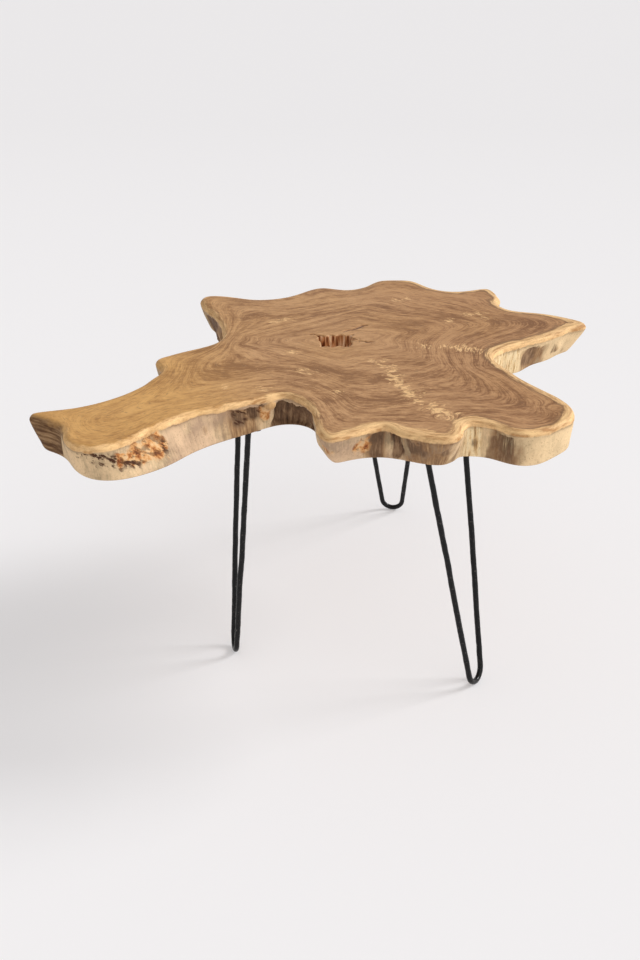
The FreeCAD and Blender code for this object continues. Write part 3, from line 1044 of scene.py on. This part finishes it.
def mesh_from(shape, name, material):
    """Mesh with one material from a bmesh, which is freed."""
    mesh = bpy.data.meshes.new(name)
    shape.to_mesh(mesh)
    shape.free()
    mesh.materials.append(material)
    return mesh


def box_middle(points):
    """Middle of the box round some points."""
    return (points.min(axis=0) + points.max(axis=0)) / 2


def bar_line(node, bend_radius, bar_radius):
    """Middle line of a hairpin bar, from one cut end round the foot bend to the other."""
    cut_band = 1e-5
    foot_band = 0.002
    bend_points = 25
    points = np.array([v.co[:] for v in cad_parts[node].data.vertices])
    top = points[points[:, 2] > points[:, 2].max() - cut_band]
    apart = (top - top.mean(axis=0))[:, :2]
    spread = np.linalg.svd(apart, full_matrices=False)[2][0]
    side = apart @ spread
    ends = [box_middle(top[side < 0]), box_middle(top[side > 0])]
    along = (ends[1] - ends[0]) / np.linalg.norm(ends[1] - ends[0])
    foot = box_middle(points[points[:, 2] < foot_band])
    foot[2] = bar_radius
    up = (ends[0] + ends[1]) / 2 - foot
    up = up - along * (up @ along)
    up = up / np.linalg.norm(up)
    centre = foot + up * bend_radius
    angles = []
    for sign, end in zip((-1, 1), ends):
        reach = end - centre
        across, height = reach @ along, reach @ up
        opening = math.acos(bend_radius / math.hypot(across, height))
        angles.append(math.atan2(height, across) - sign * opening)
    start, stop = angles
    if start > 0:
        start -= 2 * math.pi
    turns = np.linspace(start, stop, bend_points)
    bend = [centre + (along * math.cos(a) + up * math.sin(a)) * bend_radius for a in turns]
    return [ends[0]] + bend + [ends[1]]


def new_tree(name, kinds):
    """Empty geometry tree with named inputs: its adding function, its inputs and their identifiers."""
    tree = bpy.data.node_groups.new(name, "GeometryNodeTree")
    tree.interface.new_socket("Geometry", in_out="INPUT", socket_type="NodeSocketGeometry")
    names = {}
    for key, kind in kinds.items():
        socket = tree.interface.new_socket(key, in_out="INPUT", socket_type="NodeSocket" + kind)
        names[key] = socket.identifier
    tree.interface.new_socket("Geometry", in_out="OUTPUT", socket_type="NodeSocketGeometry")
    add = functools.partial(add_node, tree)
    return tree, add, add("NodeGroupInput").node.outputs, names


def bar_tree():
    """Round bar swept along a line that wanders a little, with the flats that a hammer leaves."""
    tree, add, given, names = new_tree("hairpin_bar", {
        "Radius": "Float", "Wobble": "Float", "Hammer": "Float", "Seed": "Int", "Material": "Material"})
    step = 0.003
    points_round = 20
    line = add("GeometryNodeResampleCurve", given[0], None, step, mode="LENGTH")
    # The line wanders in waves of 75 mm, held still at both ends and at the foot
    turn = add("Math", add("GeometryNodeSplineParameter"), 2 * math.pi, operation="MULTIPLY")
    held = add("Math", add("Math", turn, operation="SINE"), operation="ABSOLUTE")
    drift = add("TexNoise", None, given["Seed"], 1 / 0.075, 1.0, noise_dimensions="4D", output="Color")
    drift = add("VectorMath", drift, (0.5, 0.5, 0.5), operation="SUBTRACT")
    amount = add("Math", held, given["Wobble"], operation="MULTIPLY")
    drift = add("VectorMath", drift, amount, operation="SCALE")
    line = add("GeometryNodeSetPosition", line, None, None, drift)
    ring = add("GeometryNodeCurvePrimitiveCircle", points_round, given["Radius"])
    bar = add("GeometryNodeCurveToMesh", line, ring, None, True)
    # Flats 13 mm across sink mostly inwards
    flats = add("TexNoise", None, given["Seed"], 1 / 0.013, 2.0, noise_dimensions="4D")
    flats = add("Math", flats, 0.65, operation="SUBTRACT")
    flats = add("Math", flats, given["Hammer"], operation="MULTIPLY")
    push = add("VectorMath", add("GeometryNodeInputNormal"), flats, operation="SCALE")
    bar = add("GeometryNodeSetPosition", bar, None, None, push)
    bar = add("GeometryNodeSetShadeSmooth", bar)
    bar = add("GeometryNodeRealizeInstances", bar)
    bar = add("GeometryNodeSetMaterial", bar, None, given["Material"])
    add("NodeGroupOutput", bar)
    return tree, names


def weld_tree():
    """Overlapping ripples of weld metal along a closed line."""
    tree, add, given, names = new_tree("weld_ripples", {
        "Radius": "Float", "Spacing": "Float", "Seed": "Int", "Material": "Material"})
    points = add("GeometryNodeCurveToPoints", given[0], given["Spacing"], mode="LENGTH")
    ripple = add("GeometryNodeSetShadeSmooth", add("GeometryNodeMeshIcoSphere", given["Radius"], 2))
    size = add("FunctionNodeRandomValue", 0.85, 1.15, None, given["Seed"], data_type="FLOAT")
    size = add("VectorMath", (1.0, 1.0, 0.6), size, operation="SCALE")
    facing = points.node.outputs["Rotation"]
    beads = add("GeometryNodeInstanceOnPoints", points, None, ripple, None, None, facing, size)
    beads = add("GeometryNodeRealizeInstances", beads)
    beads = add("GeometryNodeSetMaterial", beads, None, given["Material"])
    add("NodeGroupOutput", beads)
    return tree, names


def grown_on_lines(name, lines, closed, tree, names, values):
    """Mesh that a node tree grows on lines, as a plain piece with no modifier."""
    curve = bpy.data.curves.new(name + "_line", "CURVE")
    curve.dimensions = "3D"
    for line in lines:
        spline = curve.splines.new("POLY")
        spline.points.add(len(line) - 1)
        for point, place in zip(spline.points, line):
            point.co = (*place, 1.0)
        spline.use_cyclic_u = closed
    carrier = new_object(name + "_line", curve)
    modifier = carrier.modifiers.new("grow", "NODES")
    modifier.node_group = tree
    for key, value in values.items():
        modifier[names[key]] = value
    evaluated = carrier.evaluated_get(bpy.context.evaluated_depsgraph_get())
    mesh = bpy.data.meshes.new_from_object(evaluated)
    bpy.data.objects.remove(carrier)
    bpy.data.curves.remove(curve)
    mesh.name = name
    return new_object(name, mesh)


class TABLE_OT_slice(bpy.types.Operator):
    """Builds the live-edge slice with its natural side, heart hollow and cracks"""
    bl_idname = "table.slice"
    bl_label = "Teak Slice"

    def execute(self, context):
        settings = context.scene.table_slice
        shape, rim = build_slice(settings)
        points = np.vstack(shape.points)
        values = {name: np.concatenate(parts) for name, parts in shape.values.items()}
        values = slice_values(points, rim, values, settings)
        mesh = bpy.data.meshes.new("teak_slice")
        mesh.from_pydata(points.tolist(), [], shape.faces)
        for name, value in values.items():
            mesh.attributes.new(name, "FLOAT", "POINT").data.foreach_set("value", value.astype(np.float32))
        mesh.polygons.foreach_set("use_smooth", [True] * len(mesh.polygons))
        mesh.materials.append(teak_material(settings, values))
        mesh.update()
        place_piece(new_object("teak_slice", mesh), "slab_top")
        return {"FINISHED"}


class TABLE_OT_leg_bars(bpy.types.Operator):
    """Builds the three hairpin bars with their hand-bent wobble and hammer flats"""
    bl_idname = "table.leg_bars"
    bl_label = "Hairpin Bars"

    def execute(self, context):
        settings = context.scene.table_legs
        paint = paint_material("black_painted_iron", tuple(settings.paint), grit=0.006, roughness=0.3)
        tree, names = bar_tree()
        radius = settings.bar_diameter / 2
        for index, leg in enumerate(LEGS):
            node = leg + "_leg_bar"
            line = bar_line(node, settings.bend_radius, radius)
            bar = grown_on_lines(leg + "_hairpin", [line], False, tree, names, {
                "Radius": radius, "Wobble": settings.wobble, "Hammer": settings.hammer,
                "Seed": settings.seed + index, "Material": paint})
            place_piece(bar, node)
        return {"FINISHED"}


class TABLE_OT_plates(bpy.types.Operator):
    """Builds the three mounting plates with eased edges"""
    bl_idname = "table.plates"
    bl_label = "Mounting Plates"

    def execute(self, context):
        settings = context.scene.table_legs
        paint = paint_material("black_painted_plate", tuple(settings.paint), grit=0.009, roughness=0.48)
        level = math.radians(1)
        sharp = math.radians(50)
        for leg in LEGS:
            node = leg + "_mounting_plate"
            shape = merged_copy(node)
            bmesh.ops.dissolve_limit(shape, angle_limit=level, verts=shape.verts, edges=shape.edges)
            edges = [edge for edge in shape.edges if edge.calc_face_angle(0) > sharp]
            bmesh.ops.bevel(shape, geom=edges, offset=settings.plate_edge, segments=2, profile=0.5,
                            affect="EDGES", clamp_overlap=True)
            mesh = mesh_from(shape, leg + "_plate", paint)
            place_piece(new_object(mesh.name, mesh), node)
        return {"FINISHED"}


class TABLE_OT_welds(bpy.types.Operator):
    """Builds the rippled weld beads round the bars' ends"""
    bl_idname = "table.welds"
    bl_label = "Weld Beads"

    def execute(self, context):
        settings = context.scene.table_legs
        paint = paint_material("black_painted_weld", tuple(settings.paint), grit=0.003, roughness=0.5)
        tree, names = weld_tree()
        radius = settings.bar_diameter / 2
        turns = np.linspace(0, 2 * math.pi, 24, endpoint=False)
        offset = settings.weld_offset
        circle = np.stack([np.cos(turns), np.sin(turns), 0 * turns], axis=1)
        circle = circle * (radius + offset) - (0, 0, offset)
        for leg in LEGS:
            line = bar_line(leg + "_leg_bar", settings.bend_radius, radius)
            rings = [end + circle for end in (line[0], line[-1])]
            beads = grown_on_lines(leg + "_welds", rings, True, tree, names, {
                "Radius": settings.weld_radius, "Spacing": settings.weld_spacing,
                "Seed": settings.seed, "Material": paint})
            place_piece(beads, leg + "_weld_beads")
        return {"FINISHED"}


class TABLE_OT_screws(bpy.types.Operator):
    """Plates the wood screws with dull zinc"""
    bl_idname = "table.screws"
    bl_label = "Wood Screws"

    def execute(self, context):
        zinc = zinc_material()
        for leg in LEGS:
            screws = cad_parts[leg + "_wood_screws"]
            screws.data.materials.clear()
            screws.data.materials.append(zinc)
        return {"FINISHED"}


class TABLE_OT_stage(bpy.types.Operator):
    """Sets up the pale floor, the soft light and the camera"""
    bl_idname = "table.stage"
    bl_label = "Stage"

    def execute(self, context):
        settings = context.scene.table_stage
        scene = context.scene
        shape = bmesh.new()
        bmesh.ops.create_circle(shape, cap_ends=True, segments=96, radius=settings.floor_radius)
        mesh = mesh_from(shape, "floor", floor_material(settings.floor))
        floor = new_object("floor", mesh)

        scene.view_settings.view_transform = "Standard"
        world = bpy.data.worlds.new("studio")
        scene.world = world
        world.use_nodes = True
        world.node_tree.nodes.clear()
        add = functools.partial(add_node, world.node_tree)
        light = add("Background", (1.0, 0.995, 0.99, 1.0), settings.sky)
        # What is seen past the floor has the floor's own tone
        seen = add("Background", "e9e8e9", 1.0)
        add("OutputWorld", add("MixShader", add("LightPath"), light, seen))
        # A soft key from the right and a broad fill from the front, far away so the floor stays even
        for name, towards, width, strength in LAMPS:
            light = bpy.data.lights.new(name, "SUN")
            light.angle = math.radians(width)
            light.energy = strength
            lamp = new_object(name, light)
            lamp.rotation_euler = Vector(towards).to_track_quat("Z", "Y").to_euler()

        data = bpy.data.cameras.new("camera")
        data.sensor_fit = "VERTICAL"
        data.sensor_height = settings.frame_height
        data.lens = settings.lens
        camera = new_object("camera", data)
        camera.location = settings.camera_place
        camera.rotation_euler = (math.pi / 2 - settings.pitch, 0, 0)
        scene.camera = camera
        return {"FINISHED"}


class VIEW3D_PT_table(bpy.types.Panel):
    """Lists the table's pieces in the sidebar"""
    bl_label = "Tree Slice Side Table"
    bl_space_type = "VIEW_3D"
    bl_region_type = "UI"
    bl_category = "Table"

    def draw(self, context):
        for operator in OPERATORS:
            self.layout.operator(operator.bl_idname)


OPERATORS = (TABLE_OT_stage, TABLE_OT_slice, TABLE_OT_leg_bars, TABLE_OT_plates, TABLE_OT_welds,
             TABLE_OT_screws)
SETTINGS = {"table_slice": SliceSettings, "table_legs": LegSettings, "table_stage": StageSettings}
CLASSES = tuple(SETTINGS.values()) + OPERATORS + (VIEW3D_PT_table,)


def register():
    """Registers the classes and their settings."""
    for cls in CLASSES:
        bpy.utils.register_class(cls)
    for name, group in SETTINGS.items():
        setattr(bpy.types.Scene, name, PointerProperty(type=group))


def unregister():
    """Removes the settings and the classes."""
    for name in SETTINGS:
        delattr(bpy.types.Scene, name)
    for cls in reversed(CLASSES):
        bpy.utils.unregister_class(cls)


def main():
    """Builds every piece in order."""
    register()
    bpy.ops.table.stage()
    bpy.ops.table.slice()
    bpy.ops.table.leg_bars()
    bpy.ops.table.plates()
    bpy.ops.table.welds()
    bpy.ops.table.screws()


if __name__ == "__main__":
    main()
